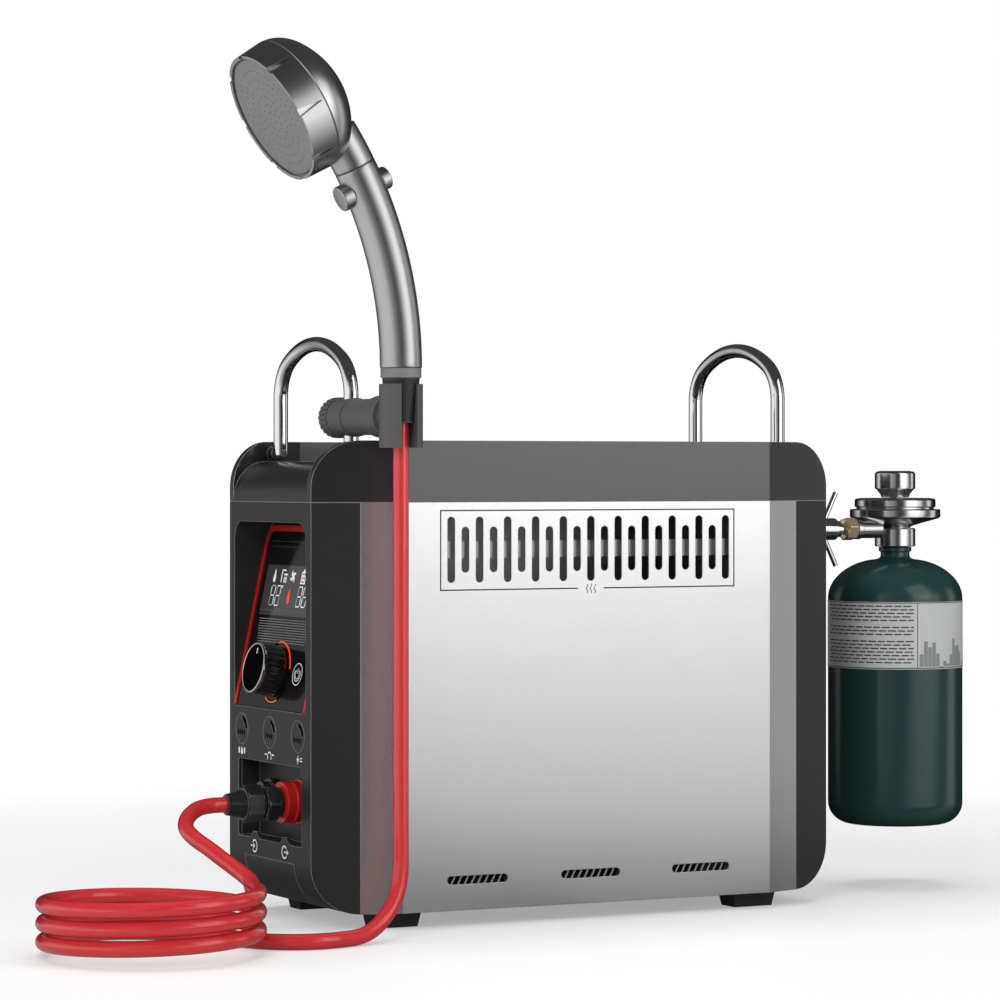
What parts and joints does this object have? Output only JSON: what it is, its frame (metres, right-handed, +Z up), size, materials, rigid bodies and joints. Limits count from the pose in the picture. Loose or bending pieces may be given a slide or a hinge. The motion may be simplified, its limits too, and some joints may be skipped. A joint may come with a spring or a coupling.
{
  "type": "portable gas water heater",
  "caption": "Portable propane water heater with folding carry handles, display and temperature knob, gas bottle on its regulator, and a hand shower on a cradle with a coiled red hose.",
  "frame": {"origin": "on the floor, below the middle of the whole object without its hose", "axes": "+X along the housing from the control end to the gas bottle, +Y to the back, +Z up"},
  "size_m": [0.7635, 0.2961, 0.5818],
  "materials": {
    "silver_panel": "satin silver paint",
    "dark_plastic": "fine texture",
    "grey_plastic": "fine texture",
    "gloss_black": "polished",
    "display_glass": "polished",
    "red_plastic": "polished",
    "hose_red": "smooth",
    "connector_black": "smooth",
    "rubber_black": "matte",
    "chrome": "polished",
    "satin_chrome": "satin",
    "spray_grey": "satin",
    "sheet_steel": "plain",
    "cast_zinc": "satin",
    "copper": "plain",
    "brass": "machined",
    "ceramic": "glazed",
    "circuit_green": "lacquered",
    "battery_blue": "sleeve",
    "dark_screws": "black oxide",
    "bottle_green": "gloss paint"
  },
  "bodies": {
    "frame": {"base_pan": "sheet_steel", "front_panel": "silver_panel", "rear_panel": "silver_panel", "left_end_cover": "dark_plastic", "right_end_cover": "dark_plastic", "lid": "grey_plastic", "feet": "rubber_black", "left_handle": "chrome", "bay_trim": "red_plastic", "control_fascia": "gloss_black", "display_lens": "display_glass", "control_board": "circuit_green", "port_sockets": "chrome", "connector_bay": "dark_plastic", "water_inlet_fitting": "connector_black", "water_outlet_fitting": "red_plastic", "battery_pack": "battery_blue", "chassis_frame": "sheet_steel", "fan_housing": "dark_plastic", "burner_tray": "sheet_steel", "burner_bars": "chrome", "combustion_chamber": "copper", "heat_exchanger": "copper", "exchanger_tubes": "copper", "exhaust_hood": "sheet_steel", "igniter_electrodes": "ceramic", "flow_sensor": "dark_plastic", "cold_pipe": "copper", "hot_pipe": "copper", "gas_inlet_boss": "chrome", "gas_supply_pipe": "brass", "gas_valve": "cast_zinc", "cover_screws": "dark_screws", "brass_nut": "brass", "regulator_body": "cast_zinc", "shower_clamp": "grey_plastic", "shower_cradle": "grey_plastic", "hose_connector": "connector_black", "hose_lead": "hose_red", "hose_coil": "hose_red", "hose_drop": "hose_red"},
    "right_handle_body": {"right_handle": "chrome"},
    "temperature_knob_body": {"temperature_knob": "gloss_black"},
    "mode_button_body": {"mode_button": "gloss_black"},
    "pump_cap": {"pump_port_cap": "dark_plastic"},
    "aux_cap": {"aux_port_cap": "dark_plastic"},
    "power_cap": {"power_port_cap": "dark_plastic"},
    "battery_door_body": {"battery_door": "dark_plastic"},
    "fan": {"fan_rotor": "dark_plastic"},
    "wing_nut_body": {"wing_nut": "chrome"},
    "regulator_knob_body": {"regulator_knob": "satin_chrome"},
    "bottle": {"gas_bottle": "bottle_green"},
    "clamp_knob_body": {"clamp_knob": "grey_plastic"},
    "shower": {"hose_cone": "dark_plastic", "wand_handle": "satin_chrome", "head_shell": "satin_chrome", "head_ring": "satin_chrome", "spray_plate": "spray_grey"},
    "spray_button_body": {"spray_button": "satin_chrome"}
  },
  "joints": [
    {"name": "right_handle_fold", "type": "hinge", "parent": "frame", "child": "right_handle_body", "pos_m": [0.13057, 0.04575, 0.3172], "axis": [0, -1, 0], "range_deg": [0, 90]},
    {"name": "clamp_knob_turn", "type": "hinge", "parent": "frame", "child": "clamp_knob_body", "pos_m": [-0.20142, -0.00125, 0.3406], "axis": [0, -1, 0], "range_deg": [-180, 180]},
    {"name": "shower_lift", "type": "slide", "parent": "frame", "child": "shower", "axis": [0, 0, 1], "range_m": [0, 0.06], "deforming": ["hose_drop"]},
    {"name": "spray_button_push", "type": "slide", "parent": "shower", "child": "spray_button_body", "axis": [0.9026, 0, 0.4305], "range_m": [-0.0025, 0.0025]},
    {"name": "temperature_turn", "type": "hinge", "parent": "frame", "child": "temperature_knob_body", "pos_m": [-0.2301, 0.04575, 0.16864], "axis": [-0.9781, 0, 0.2079], "range_deg": [-135, 135]},
    {"name": "mode_push", "type": "slide", "parent": "frame", "child": "mode_button_body", "axis": [0.9781, 0, -0.2079], "range_m": [0, 0.0015], "stiffness_N_per_m": 400, "springref_m": -0.0005},
    {"name": "pump_cap_flip", "type": "hinge", "parent": "frame", "child": "pump_cap", "pos_m": [-0.23542, 0.09275, 0.1175], "axis": [0, -1, 0], "range_deg": [0, 110]},
    {"name": "aux_cap_flip", "type": "hinge", "parent": "frame", "child": "aux_cap", "pos_m": [-0.23542, 0.04575, 0.1175], "axis": [0, -1, 0], "range_deg": [0, 110]},
    {"name": "power_cap_flip", "type": "hinge", "parent": "frame", "child": "power_cap", "pos_m": [-0.23542, -0.00125, 0.1175], "axis": [0, -1, 0], "range_deg": [0, 110]},
    {"name": "battery_door_open", "type": "hinge", "parent": "frame", "child": "battery_door_body", "pos_m": [-0.23542, 0.04575, 0.0423], "axis": [0, 1, 0], "range_deg": [0, 90]},
    {"name": "wing_nut_turn", "type": "hinge", "parent": "frame", "child": "wing_nut_body", "pos_m": [0.20158, 0.04575, 0.2624], "axis": [1, 0, 0], "range_deg": [0, 360]},
    {"name": "regulator_turn", "type": "hinge", "parent": "frame", "child": "regulator_knob_body", "pos_m": [0.26658, 0.04575, 0.2834], "axis": [0, 0, 1], "range_deg": [0, 270]},
    {"name": "bottle_turn", "type": "hinge", "parent": "frame", "child": "bottle", "pos_m": [0.26658, 0.04575, 0.249], "axis": [0, 0, 1], "range_deg": [-360, 0]},
    {"name": "fan_spin", "type": "hinge", "parent": "frame", "child": "fan", "pos_m": [-0.03542, 0.04575, 0.0242], "axis": [0, 0, 1], "continuous": true}
  ]
}
